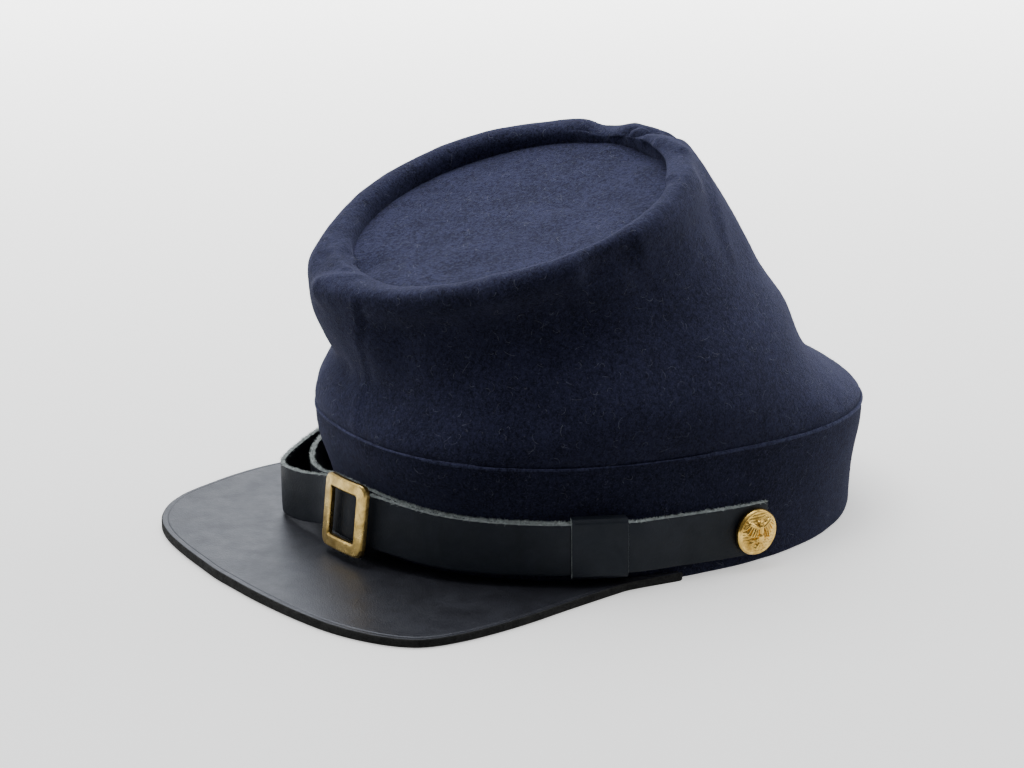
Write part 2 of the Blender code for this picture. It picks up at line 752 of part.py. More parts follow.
def bounds(pieces):
    """Lowest and highest corner of the pieces' box, with their modifiers."""
    bpy.context.view_layer.update()
    graph = bpy.context.evaluated_depsgraph_get()
    corners = []
    for piece in pieces:
        evaluated = piece.evaluated_get(graph)
        corners += [piece.matrix_world @ vertex.co for vertex in evaluated.to_mesh().vertices]
    low = Vector(min(corner[i] for corner in corners) for i in range(3))
    high = Vector(max(corner[i] for corner in corners) for i in range(3))
    return low, high


def build():
    remove_everything()
    parts = new_collection("kepi_cap")
    cutters = new_collection("kepi_cap_cutters")
    pieces = [
        add_band(parts),
        add_crown_side(parts),
        add_crown_top(parts),
        add_visor(parts),
        add_strap_long(parts),
        add_strap_short(parts),
        add_keeper(parts),
        add_button("button_left", BUTTON_LEFT_PLACE, parts, GILT_LEFT),
        add_button("button_right", BUTTON_RIGHT_PLACE, parts, GILT_RIGHT),
    ]
    buckle, centre_bar = add_buckle(parts, cutters)
    pieces.append(buckle)
    low, high = bounds(pieces)
    carrier = bpy.data.objects.new("kepi_cap_carrier", None)
    parts.objects.link(carrier)
    for piece in pieces + [centre_bar]:
        piece.parent = carrier
    carrier.location = (-(low.x + high.x) / 2, -(low.y + high.y) / 2, -low.z)
    bpy.context.view_layer.update()


build()
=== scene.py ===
"""Looks of the kepi cap: felted navy wool, black leather with pale cut edges, and gilt brass.

Metres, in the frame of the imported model: +Z up, the visor towards -Y, the wearer's left towards +X.
"""
import math
from collections import namedtuple

import bmesh
import bpy
import numpy as np
from mathutils import Matrix, Vector, noise


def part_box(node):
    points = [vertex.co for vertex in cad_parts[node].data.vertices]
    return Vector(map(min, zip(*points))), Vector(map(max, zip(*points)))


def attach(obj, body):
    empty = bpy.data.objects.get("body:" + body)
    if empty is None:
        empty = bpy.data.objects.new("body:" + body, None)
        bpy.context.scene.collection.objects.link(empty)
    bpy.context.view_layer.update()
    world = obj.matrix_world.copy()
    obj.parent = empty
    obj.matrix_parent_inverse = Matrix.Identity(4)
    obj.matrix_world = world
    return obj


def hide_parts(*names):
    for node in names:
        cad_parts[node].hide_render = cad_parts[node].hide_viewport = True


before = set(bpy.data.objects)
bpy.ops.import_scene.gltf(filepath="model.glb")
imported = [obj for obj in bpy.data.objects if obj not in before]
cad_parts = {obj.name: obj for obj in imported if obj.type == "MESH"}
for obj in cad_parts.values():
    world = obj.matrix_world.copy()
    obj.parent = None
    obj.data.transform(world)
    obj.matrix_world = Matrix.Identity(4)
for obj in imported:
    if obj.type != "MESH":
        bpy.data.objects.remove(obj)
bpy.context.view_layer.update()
BODY = "root"
MM = 0.001

# Camera: where it looks, from which side and how high, and how far off
VIEW_AIM = Vector((-0.01532, 0.00084, 0.04853))
VIEW_AZIMUTH = 61.0
VIEW_ELEVATION = 17.55
VIEW_ROLL = -0.55
VIEW_DISTANCE = 1.2
VIEW_LENS = 110.95
VIEW_CLIP = (0.05, 20)

# Floor, and its own glow: the direction away from the camera, the span along it and the glow at its ends
FLOOR_SIZE = 8
FLOOR_COLOUR = (0.88, 0.88, 0.865)
FLOOR_GLOW_COLOUR = (1.0, 0.995, 0.98)
FLOOR_AWAY = (-0.875, 0.485, 0)
FLOOR_SPAN = (-0.25, 1.05)
FLOOR_GLOW = (0.5, 3.2)

# Light: the surroundings' bright side, the span along it and their glow at its ends, and the soft lamps
WORLD_COLOUR = (0.93, 0.95, 1.0)
WORLD_BRIGHT_SIDE = (-0.72, 0.40, 0.57)
WORLD_SPAN = (-0.6, 0.8)
WORLD_GLOW = (0.15, 0.80)
LAMP_TARGET = (0, 0, 0.06)
Lamp = namedtuple("Lamp", "name place size power colour")
LIGHTS = (
    Lamp("key", (-0.5, 0.0, 1.5), (1.4, 1.4), 27, (1.0, 1.0, 1.0)),
    Lamp("rear", (-1.4, 0.9, 0.8), (1.4, 1.0), 9, (0.90, 0.94, 1.0)),
    Lamp("left", (-1.15, -1.3, 0.9), (1.0, 1.0), 7, (0.96, 0.97, 1.0)),
    Lamp("right", (0.15, 1.9, 1.2), (1.0, 1.0), 13, (0.96, 0.97, 1.0)),
)

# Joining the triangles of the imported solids
WELD = 0.00002

# Materials: colours in the dark and the light places, and how each one shines
Wool = namedtuple("Wool", "name dark light sheen grain")
# The crown's wall wool is a darker copy of the sunken top's, and the top's a lighter one: painted shade on
# the walls and painted light on the top
SHADED_CROWN_WOOL = Wool("navy_wool", (0.0055, 0.0061, 0.0165), (0.0320, 0.0350, 0.0790), 0.22, 0.100)
LIT_TOP_WOOL = Wool("navy_wool_top", (0.0062, 0.0070, 0.0190), (0.0350, 0.0380, 0.0870), 0.18, 0.055)
BAND_WOOL = Wool("navy_wool_band", (0.0038, 0.0045, 0.0125), (0.0245, 0.0272, 0.0615), 0.16, 0.095)
# The welt's wool is a lighter copy of the band's: a painted highlight on the band's rounded top edge
LIT_WELT_WOOL = Wool("navy_wool_welt_lit", (0.0100, 0.0115, 0.0290), (0.0560, 0.0610, 0.1250), 0.30, 0.090)
SHEEN_TINT = (0.52, 0.55, 0.88)
LINT_TINT = (0.13, 0.13, 0.16)
LINT_SHARE = 0.45
Leather = namedtuple("Leather", "name dark light roughness grain clouds specular shine")
VISOR_LEATHER = Leather("visor_leather", (0.011, 0.011, 0.014), (0.022, 0.023, 0.029), 0.43, 0.24, 0.06,
                        0.60, (0.80, 0.86, 1.0))
STRAP_LEATHER = Leather("strap_leather", (0.006, 0.008, 0.012), (0.012, 0.015, 0.022), 0.52, 0.30, 0.4,
                        0.20, (0.90, 0.95, 1.0))
Edge = namedtuple("Edge", "name dark light specular")
VISOR_EDGE = Edge("visor_edge", (0.010, 0.010, 0.010), (0.045, 0.045, 0.043), 0.15)
RAW_EDGE = Edge("raw_edge", (0.160, 0.185, 0.190), (0.520, 0.570, 0.560), 0.3)
Metal = namedtuple("Metal", "name dark light roughness brush")
BRASS = Metal("brushed_brass", (0.26, 0.170, 0.045), (0.60, 0.43, 0.15), 0.27, 0.3)
GILT = Metal("gilt", (0.36, 0.21, 0.04), (0.80, 0.53, 0.14), 0.20, 0.1)
Hairs = namedtuple("Hairs", "name colour")
NAVY_HAIRS = Hairs("navy_hairs", (0.070, 0.078, 0.150))
RAW_HAIRS = Hairs("raw_hairs", (0.60, 0.66, 0.64))
LINT_HAIRS = Hairs("lint_hairs", (0.18, 0.195, 0.26))
HAIR_SHADE = 0.45

# Grain of the materials, in cells per metre, and the depths of their bumps
WOOL_FIBRE = 1500
WOOL_CLUMP = 620
WOOL_CLOUD = 70
WOOL_LINT = 900
WOOL_BUMP = 0.0005
LEATHER_PEBBLE = 1500
LEATHER_PORE = 2300
LEATHER_WEAR = 55
LEATHER_GLOSS = 130
LEATHER_BUMP = 0.00025
EDGE_FIBRE = 1700
EDGE_PATCH = 260
EDGE_BUMP = 0.0003
METAL_TARNISH = 210
METAL_BRUSH = (350, 350, 5200)
METAL_BUMP = 0.00008
HAIR_TONE = 800

# Cloth: its gentle waves, and the finer ones on them
CLOTH_WAVE = 0.00035
BAND_WAVE = 0.000175
CLOTH_WAVE_SIZE = 0.016
FINE_WAVE = 0.4
FINE_WAVE_RATE = 2.7
FINE_WAVE_SHIFT = Vector((7, 3, 1))

# Short hairs: their spread in length, lift, bend and width, as shares, and their least height over the floor
HAIR_LENGTHS = (0.35, 1.3)
HAIR_LIFTS = (0.3, 1.2)
HAIR_BENDS = (-0.5, 0.5)
HAIR_WIDTHS = (0.6, 1.2)
FLOOR_ROOM = 0.0001

# Nap: the short hairs of the wool
NAP_LENGTH = 0.0012
NAP_WIDTH = 0.00007
Nap = namedtuple("Nap", "name node count lift seed")
NAPS = (
    Nap("crown_nap", "crown_side", 42000, 0.35, 11),
    Nap("top_nap", "crown_top", 14000, 0.35, 12),
    Nap("band_nap", "band", 18000, 0.30, 13),
)

# Lint: loose hairs that lie curled just over the cloth
CURL_LENGTH = 0.0038
CURL_LENGTHS = (0.4, 1.3)
CURL_WIDTH = 0.00011
CURL_WIDTHS = (0.7, 1.2)
CURL_TAPER = 0.6
CURL_TURN = 4.0
CURL_LIFT = 0.00018
CURL_STEPS = 7
Lint = namedtuple("Lint", "name node count seed")
LINTS = (
    Lint("crown_lint", "crown_side", 1000, 31),
    Lint("top_lint", "crown_top", 240, 32),
    Lint("band_lint", "band", 260, 33),
)

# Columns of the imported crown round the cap, the span of one degree round the rim, how far down from its
# crest the cloth is divided once more, and how steeply a face of the outside may look up
COLUMNS = 72
DEGREE = 0.00122
REFINED_RUN = 0.016
OUTSIDE_UP = 0.35

# Seam: where its height is read off the band, in degrees, the band's top edge over the crown's tucked foot,
# and how far the sunken top runs on inside the rim
SEAM_STEP = 10
SEAM_REACH = 6
WELT_HEIGHT = 0.0018
WELT_PROUD = 0.0008
# How far under the band's top edge the faces take the lighter welt wool, a painted highlight
WELT_LIT_REACH = 0.0005
WELT_RISE = 0.0006
TUCK_HEIGHT = 0.0024
TUCK_DEPTH = 0.0011
TUCK_DROP = 0.0016
TOP_REACH = 0.0032

# Corners where the sunken top tucks in under the rim: angle in degrees round the top, and depth
TOP_TUCKS = ((-106, 0.0024), (90, 0.0016))
TUCK_SPREAD = 0.009

# Soft folds of the crown, as strokes over its cloth: how far they stand out and spread, in mm, and their
# path through places given as degrees round the top (0 the wearer's left, 90 the back) and mm from the
# rim's crest, down the wall below 0 and in towards the sunken top above it
Stroke = namedtuple("Stroke", "depth width path")
STROKES = (
    # Pinched fold at the front, from the rim's lip down to the wearer's right
    Stroke(1.2, 3.4, ((-90, -0.5), (-94, -3.0), (-98.5, -8), (-102, -12))),
    Stroke(-1.1, 5.5, ((-111, -1), (-107, -6))),
    Stroke(-0.9, 3.4, ((-112, 7.0), (-105, 6.6), (-98, 6.0))),
    Stroke(1.3, 3.0, ((-113, 2.6), (-105, 2.4), (-97, 2.0))),
    # Crest of the near rim, and the hollow under it
    Stroke(2.3, 5.0, ((-97, -10), (-88, -7.0), (-76, -6.5), (-66, -7.0), (-56, -6.5), (-46, -6), (-34, -6))),
    Stroke(2.2, 5.5, ((-34, -6.5), (-22, -6.5), (-10, -6.5))),
    Stroke(1.5, 5.0, ((14, -7), (26, -8), (40, -9), (54, -8))),
    Stroke(-1.3, 5.0, ((-78, -15), (-66, -17), (-52, -16))),
    Stroke(-1.2, 4.5, ((-6, -9), (2, -9.5), (9, -10))),
    Stroke(1.0, 5.0, ((-10, -16), (4, -17))),
    # Broad hollow of the near wall
    Stroke(-3.2, 13, ((-66, -24), (-40, -27), (-18, -27))),
    # Front seam, and the creases beside it
    Stroke(0.30, 1.5, ((-81, -8), (-85, -24), (-86, -44), (-81, -58))),
    Stroke(-0.35, 1.5, ((-78, -8), (-82, -24), (-83, -44), (-78, -58))),
    Stroke(-1.6, 4.5, ((-124, -43), (-110, -41), (-98, -38))),
    Stroke(1.0, 5.5, ((-110, -51), (-96, -48), (-86, -44))),
    # Fold where the near rim laps over the far one at the back
    Stroke(1.5, 3.2, ((90, 4.6), (84, 3.4), (77, 1.0), (70, -2))),
    Stroke(-2.0, 2.2, ((100, 3.4), (93, 0.6), (87, -2.4), (83, -6))),
    Stroke(1.5, 3.2, ((50, 4.0), (62, 4.6), (71, 5.2), (80, 5.6))),
    Stroke(-1.1, 5.4, ((117, -5), (118, 0), (119, 5))),
    Stroke(0.9, 4.4, ((104, -2), (106, 3))),
    # Soft ridge down the wall at the back
    Stroke(0.55, 3.0, ((78, -5), (70, -16), (61, -23), (55, -30), (50, -38))),
    Stroke(-0.4, 5.0, ((66, -8), (57, -17), (49, -26))),
    # Slack of the far side
    Stroke(-1.6, 9, ((-150, -24), (170, -28))),
    Stroke(1.2, 8, ((-140, -40), (-165, -44), (160, -42))),
    Stroke(-1.4, 8, ((140, -30), (120, -44), (100, -60))),
    Stroke(0.8, 9, ((20, -60), (45, -70), (70, -74))),
)

# Button: a spread bird over a shield, as rounded bars on the face's right half that the left half mirrors,
# from one end to the other, in shares of the button's radius
Bar = namedtuple("Bar", "x0 y0 x1 y1 half high")
BIRD_BARS = (
    Bar(0.00, 0.10, 0.00, 0.34, 0.13, 0.110),
    Bar(0.00, 0.46, 0.07, 0.50, 0.09, 0.110),
    Bar(0.14, 0.30, 0.52, 0.52, 0.08, 0.090),
    Bar(0.50, 0.50, 0.74, 0.30, 0.06, 0.080),
    Bar(0.44, 0.44, 0.66, 0.12, 0.06, 0.085),
    Bar(0.36, 0.38, 0.54, 0.00, 0.06, 0.080),
    Bar(0.27, 0.32, 0.42, -0.04, 0.06, 0.085),
    Bar(0.18, 0.26, 0.30, -0.06, 0.05, 0.080),
    Bar(0.00, -0.12, 0.00, -0.26, 0.15, 0.100),
    Bar(0.22, -0.16, 0.50, -0.34, 0.05, 0.080),
    Bar(0.34, -0.22, 0.46, -0.20, 0.05, 0.070),
    Bar(0.10, -0.40, 0.22, -0.66, 0.06, 0.080),
    Bar(0.00, -0.44, 0.00, -0.70, 0.06, 0.080),
)
RELIEF = 1.4
BUTTON_LINES = 50
BUTTON_LINE_DEPTH = 0.014
BUTTON_LINE_REACH = 0.84
BUTTON_DOME = 0.34
BUTTON_DOME_REACH = 1.02
BUTTON_RIM = 0.05
BUTTON_RIM_PLACE = 0.93
BUTTON_RIM_WIDTH = 0.045
BUTTON_FACE = 0.0012
BUTTON_BACK = ((1.0, 0.0006), (0.96, 0.0001), (0.5, 0.0001))     # share of the radius, and height
BUTTON_RINGS = 56
BUTTON_SPOKES = 160

# Buckle: fineness of its rounding
BUCKLE_VOXEL = 0.0002
BUCKLE_SMOOTHING = 0.6
BUCKLE_PASSES = 8

# Strap and keeper: rounded and ragged cut edges, slack of the smooth faces, and pale fuzz on the upper edge
EDGE_ROUND = 0.00035
EDGE_ANGLE = math.radians(40)
# Faces looking up steeper than this form the strap's pale, ragged upper cut edge; the lower cut edge keeps
# the dark leather as painted shade
STRAP_EDGE_UP = 0.6
KEEPER_EDGE = 0.85
RAG_DEPTH = 0.0003
RAG_SIZE = 0.0010
RAG_OUT = 0.3
SLACK = 0.00006
SLACK_SIZE = 0.006
FUZZ_COUNT = 9000
FUZZ_LENGTH = 0.0013
FUZZ_WIDTH = 0.00014
FUZZ_LIFT = 0.9
FUZZ_SEED = 21
STRAPS = (("strap_long", "strap_outer_leather"), ("strap_short", "strap_inner_leather"))

# Visor: rounding, border groove and tapered ends, and the places of its rows of points
VISOR_STEPS = 320
VISOR_SHARP = math.radians(60)
VISOR_UP = 0.5
VISOR_ROUND = 0.0006
VISOR_BORDER = 0.0034
VISOR_TAPER = 0.03
VISOR_TIP = 0.3
GROOVE_INSET = 0.0023
GROOVE_WIDTH = 0.00045
GROOVE_DEPTH = 0.00016
GROOVE_ROWS = (-1.6, -1.0, -0.6, -0.3, 0, 0.3, 0.6, 1.0, 1.6)     # in groove widths
FLAT_ROWS = (0.08, 0.2, 0.35, 0.5, 0.65, 0.8, 0.9, 1.0)           # in shares of the flat part
ROUND_TURNS = (20, 45, 70)                                        # in degrees
CUT_ROWS = (0.0, 0.35, 0.7, 1.0)                                  # in shares of the cut edge


# Materials

def new_material(name):
    """A material with its shader, and a function that adds a node and sets its inputs."""
    material = bpy.data.materials.new(name)
    material.use_nodes = True
    tree = material.node_tree
    shader = tree.nodes["Principled BSDF"]

    def add(kind, **inputs):
        made = tree.nodes.new(kind)
        for key, value in inputs.items():
            socket = made.inputs[key.title()]
            if isinstance(value, bpy.types.NodeSocket):
                tree.links.new(value, socket)
            else:
                socket.default_value = value
        return made

    return material, tree, shader, add


def place_output(add):
    return add("ShaderNodeTexCoord").outputs["Object"]


def noise_factor(add, where, scale, detail=3, roughness=0.6, distortion=0):
    return add("ShaderNodeTexNoise", vector=where, scale=scale, detail=detail, roughness=roughness,
               distortion=distortion).outputs["Fac"]


def ramp(tree, factor, stops):
    """A colour ramp; stops are pairs of place and colour."""
    made = tree.nodes.new("ShaderNodeValToRGB")
    elements = made.color_ramp.elements
    while len(elements) < len(stops):
        elements.new(0.5)
    for element, (place, colour) in zip(elements, stops):
        element.position = place
        element.color = (*colour, 1)
    tree.links.new(factor, made.inputs[0])
    return made.outputs["Color"]


def spread(tree, factor, low, high, low_to=0.0, high_to=1.0):
    """A value carried from one range to another."""
    made = tree.nodes.new("ShaderNodeMapRange")
    tree.links.new(factor, made.inputs["Value"])
    for name, value in (("From Min", low), ("From Max", high), ("To Min", low_to), ("To Max", high_to)):
        made.inputs[name].default_value = value
    return made.outputs["Result"]


def calculate(tree, kind, first, second):
    made = tree.nodes.new("ShaderNodeMath")
    made.operation = kind
    for socket, value in zip(made.inputs, (first, second)):
        if isinstance(value, bpy.types.NodeSocket):
            tree.links.new(value, socket)
        else:
            socket.default_value = value
    return made.outputs[0]


def tint(tree, factor, base, colour):
    """The base's colour, with a second colour over it where the factor is high."""
    made = tree.nodes.new("ShaderNodeMix")
    made.data_type = "RGBA"
    sockets = {s.identifier: s for s in made.inputs}
    tree.links.new(factor, sockets["Factor_Float"])
    tree.links.new(base, sockets["A_Color"])
    sockets["B_Color"].default_value = (*colour, 1)
    return next(s for s in made.outputs if s.identifier == "Result_Color")


def bump(tree, height, strength, distance):
    made = tree.nodes.new("ShaderNodeBump")
    made.inputs["Strength"].default_value = strength
    made.inputs["Distance"].default_value = distance
    tree.links.new(height, made.inputs["Height"])
    return made.outputs["Normal"]


def facing(tree, where, direction):
    """How far a place or direction lies towards a side."""
    made = tree.nodes.new("ShaderNodeVectorMath")
    made.operation = "DOT_PRODUCT"
    tree.links.new(where, made.inputs[0])
    made.inputs[1].default_value = direction
    return made.outputs["Value"]


def wool_material(name, dark, light, sheen, grain):
    """Felted wool: clumps of fibre, faint clouds, pale specks of lint and a soft sheen."""
    material, tree, shader, add = new_material(name)
    where = place_output(add)
    fibre = noise_factor(add, where, WOOL_FIBRE, distortion=0.8)
    clump = noise_factor(add, where, WOOL_CLUMP, distortion=0.5)
    cloud = noise_factor(add, where, WOOL_CLOUD, roughness=0.55)
    mixed = calculate(tree, "MULTIPLY", fibre, 0.50)
    for part, share in ((clump, 0.35), (cloud, 0.15)):
        mixed = calculate(tree, "ADD", mixed, calculate(tree, "MULTIPLY", part, share))
    base = ramp(tree, mixed, ((0.5 - grain, dark), (0.5 + grain, light)))
    lint = noise_factor(add, where, WOOL_LINT, detail=0, roughness=0.5, distortion=0.8)
    lint = spread(tree, lint, 0.83, 0.86)
    base = tint(tree, calculate(tree, "MULTIPLY", lint, LINT_SHARE), base, LINT_TINT)
    tree.links.new(base, shader.inputs["Base Color"])
    shader.inputs["Roughness"].default_value = 0.95
    shader.inputs["Specular IOR Level"].default_value = 0.12
    shader.inputs["Sheen Weight"].default_value = sheen
    shader.inputs["Sheen Roughness"].default_value = 0.5
    shader.inputs["Sheen Tint"].default_value = (*SHEEN_TINT, 1)
    height = calculate(tree, "ADD", fibre, calculate(tree, "MULTIPLY", clump, 0.9))
    tree.links.new(bump(tree, height, 0.7, WOOL_BUMP), shader.inputs["Normal"])
    return material


def leather_material(name, dark, light, roughness, grain, clouds, specular, shine):
    """Smooth leather: a fine pebbled grain, faint wrinkles and an uneven gloss."""
    material, tree, shader, add = new_material(name)
    where = place_output(add)
    pebbles = add("ShaderNodeTexVoronoi", vector=where, scale=LEATHER_PEBBLE).outputs["Distance"]
    pores = noise_factor(add, where, LEATHER_PORE, detail=2)
    wear = noise_factor(add, where, LEATHER_WEAR, detail=5, roughness=0.62, distortion=0.8)
    tree.links.new(ramp(tree, wear, ((0.35, dark), (0.70, light))), shader.inputs["Base Color"])
    gloss = noise_factor(add, where, LEATHER_GLOSS, detail=4)
    gloss = spread(tree, gloss, 0.3, 0.7, roughness - 0.05, roughness + 0.07)
    tree.links.new(gloss, shader.inputs["Roughness"])
    shader.inputs["Specular IOR Level"].default_value = specular
    shader.inputs["Specular Tint"].default_value = (*shine, 1)
    height = calculate(tree, "MULTIPLY", pebbles, 0.8)
    height = calculate(tree, "ADD", height, calculate(tree, "MULTIPLY", pores, 0.5))
    height = calculate(tree, "ADD", height, calculate(tree, "MULTIPLY", wear, clouds))
    tree.links.new(bump(tree, height, grain, LEATHER_BUMP), shader.inputs["Normal"])
    return material


def edge_material(name, dark, light, specular):
    """Cut edge of leather: raw fibres, matt and uneven."""
    material, tree, shader, add = new_material(name)
    where = place_output(add)
    fibre = noise_factor(add, where, EDGE_FIBRE, detail=4, roughness=0.7, distortion=1.0)
    patch = noise_factor(add, where, EDGE_PATCH)
    mixed = calculate(tree, "MULTIPLY", fibre, 0.6)
    mixed = calculate(tree, "ADD", mixed, calculate(tree, "MULTIPLY", patch, 0.4))
    tree.links.new(ramp(tree, mixed, ((0.38, dark), (0.62, light))), shader.inputs["Base Color"])
    shader.inputs["Roughness"].default_value = 0.9
    shader.inputs["Specular IOR Level"].default_value = specular
    tree.links.new(bump(tree, fibre, 0.7, EDGE_BUMP), shader.inputs["Normal"])
    return material


def brass_material(name, dark, light, roughness, brush):
    """Brass: brushed or polished, with darker and lighter metal in uneven patches, and small scratches."""
    material, tree, shader, add = new_material(name)
    where = place_output(add)
    tarnish = noise_factor(add, where, METAL_TARNISH, detail=5, roughness=0.65, distortion=0.6)
    scratch = add("ShaderNodeMapping", vector=where)
    scratch.inputs["Scale"].default_value = METAL_BRUSH
    streaks = noise_factor(add, scratch.outputs["Vector"], 1)
    tree.links.new(ramp(tree, tarnish, ((0.34, dark), (0.62, light))), shader.inputs["Base Color"])
    shader.inputs["Metallic"].default_value = 1
    gloss = spread(tree, tarnish, 0.3, 0.7, roughness + 0.08, roughness - 0.03)
    tree.links.new(gloss, shader.inputs["Roughness"])
    tree.links.new(bump(tree, streaks, brush, METAL_BUMP), shader.inputs["Normal"])
    return material


def fibre_material(name, colour):
    """Loose hairs, a little different from one place to the next."""
    material, tree, shader, add = new_material(name)
    where = place_output(add)
    tone = noise_factor(add, where, HAIR_TONE, detail=1)
    dark = tuple(HAIR_SHADE * value for value in colour)
    tree.links.new(ramp(tree, tone, ((0.35, dark), (0.65, colour))), shader.inputs["Base Color"])
    shader.inputs["Roughness"].default_value = 0.8
    return material


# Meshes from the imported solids

def welded(node):
    """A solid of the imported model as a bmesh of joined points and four-sided faces."""
    shape = bmesh.new()
    shape.from_mesh(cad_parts[node].data)
    for layer in list(shape.loops.layers.float_vector.values()):
        shape.loops.layers.float_vector.remove(layer)
    bmesh.ops.remove_doubles(shape, verts=shape.verts, dist=WELD)
    bmesh.ops.join_triangles(shape, faces=shape.faces, angle_face_threshold=math.pi,
                             angle_shape_threshold=math.pi)
    return shape


def add_piece(name, mesh, materials):
    """A shown piece with its materials; a mesh that had none keeps the numbers its faces were given."""
    custom = mesh.attributes.get("custom_normal")
    if custom:
        mesh.attributes.remove(custom)
    piece = bpy.data.objects.new(name, mesh)
    bpy.context.scene.collection.objects.link(piece)
    if len(mesh.materials):
        mesh.materials.clear()
    for material in materials:
        mesh.materials.append(material)
    mesh.shade_smooth()
    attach(piece, BODY)
    return piece


def from_shape(shape, name):
    mesh = bpy.data.meshes.new(name)
    shape.to_mesh(mesh)
    shape.free()
    return mesh


def with_modifiers(mesh, name, steps):
    """The mesh after a list of modifiers, each given as its type and its settings."""
    carrier = bpy.data.objects.new(name + "_work", mesh)
    bpy.context.scene.collection.objects.link(carrier)
    for kind, settings in steps:
        modifier = carrier.modifiers.new(kind.title(), kind)
        for key, value in settings.items():
            setattr(modifier, key, value)
    graph = bpy.context.evaluated_depsgraph_get()
    made = bpy.data.meshes.new_from_object(carrier.evaluated_get(graph))
    made.name = name
    bpy.data.objects.remove(carrier, do_unlink=True)
    return made


def points_of(mesh):
    data = np.zeros(len(mesh.vertices) * 3)
    mesh.vertices.foreach_get("co", data)
    return data.reshape(-1, 3)


def normals_of(mesh):
    data = np.zeros(len(mesh.vertices) * 3)
    mesh.vertex_normals.foreach_get("vector", data)
    return data.reshape(-1, 3)


def set_points(mesh, points):
    mesh.vertices.foreach_set("co", np.asarray(points, np.float32).ravel())
    mesh.update()


def push(mesh, amount):
    """Moves each point along its normal by amount(point)."""
    points, normals = points_of(mesh), normals_of(mesh)
    shift = np.array([amount(Vector(point)) for point in points])
    set_points(mesh, points + normals * shift[:, None])


def centre_of(node):
    low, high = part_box(node)
    return (low + high) / 2


def thin_axis(node):
    """Direction in which a solid is thinnest, away from the cap's middle."""
    points = points_of(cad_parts[node].data)
    middle = points.mean(0)
    axis = Vector(np.linalg.svd(points - middle, full_matrices=False)[2][2])
    outward = Vector(middle) - centre_of("band")
    return axis if axis.dot(outward) > 0 else -axis


# Fibres

def scatter(mesh, count, rng, accept):
    """Places spread evenly over a mesh, their normals, and a direction in the surface at each."""
    mesh.calc_loop_triangles()
    triangles = np.zeros(len(mesh.loop_triangles) * 3, np.int64)
    mesh.loop_triangles.foreach_get("vertices", triangles)
    triangles = triangles.reshape(-1, 3)
    points = points_of(mesh)
    corners = points[triangles]
    cross = np.cross(corners[:, 1] - corners[:, 0], corners[:, 2] - corners[:, 0])
    area = np.linalg.norm(cross, axis=1)
    area = area * accept(corners.mean(1), cross / np.maximum(area, 1e-12)[:, None])
    chosen = rng.choice(len(area), size=count, p=area / area.sum())
    u, v = rng.random(count), rng.random(count)
    over = u + v > 1
    u[over], v[over] = 1 - u[over], 1 - v[over]
    c = corners[chosen]
    root = c[:, 0] + u[:, None] * (c[:, 1] - c[:, 0]) + v[:, None] * (c[:, 2] - c[:, 0])
    normal = cross[chosen] / np.maximum(np.linalg.norm(cross[chosen], axis=1), 1e-12)[:, None]
    lie = rng.normal(size=(count, 3))
    lie -= (lie * normal).sum(1)[:, None] * normal
    lie /= np.maximum(np.linalg.norm(lie, axis=1), 1e-9)[:, None]
    return root, normal, lie


def add_strips(name, vertices, faces, material):
    """A piece made of many loose triangles, none of them below the floor."""
    vertices[:, 2] = np.maximum(vertices[:, 2], FLOOR_ROOM)
    made = bpy.data.meshes.new(name)
    made.vertices.add(len(vertices))
    made.vertices.foreach_set("co", vertices.astype(np.float32).ravel())
    made.loops.add(len(faces) * 3)
    made.loops.foreach_set("vertex_index", faces.astype(np.int32).ravel())
    made.polygons.add(len(faces))
    made.polygons.foreach_set("loop_start", np.arange(len(faces), dtype=np.int32) * 3)
    made.update(calc_edges=True)
    return add_piece(name, made, [material])


def add_curls(name, mesh, count, seed, material):
    """Long loose hairs that lie curled on the cloth."""
    rng = np.random.default_rng(seed)
    root, normal, lie = scatter(mesh, count, rng, outside)
    across = np.cross(normal, lie)
    length = CURL_LENGTH * rng.uniform(*CURL_LENGTHS, count)
    turn = rng.uniform(-CURL_TURN, CURL_TURN, count)
    width = CURL_WIDTH * rng.uniform(*CURL_WIDTHS, count)
    place = root + normal * CURL_LIFT
    rows = []
    for k in range(CURL_STEPS + 1):
        share = k / CURL_STEPS
        heading = lie * np.cos(turn * share)[:, None] + across * np.sin(turn * share)[:, None]
        side = np.cross(normal, heading)
        half = (width * (1 - CURL_TAPER * share) / 2)[:, None]
        rise = normal * CURL_LIFT * 2 * math.sin(math.pi * share)
        rows += [place + rise - side * half, place + rise + side * half]
        place = place + heading * (length / CURL_STEPS)[:, None]
    vertices = np.stack(rows, axis=1).reshape(-1, 3)
    strip = [corner for k in range(0, 2 * CURL_STEPS, 2)
             for corner in ((k, k + 1, k + 3), (k, k + 3, k + 2))]
    base = (np.arange(count) * 2 * (CURL_STEPS + 1))[:, None, None]
    return add_strips(name, vertices, (base + np.array(strip)).reshape(-1, 3), material)


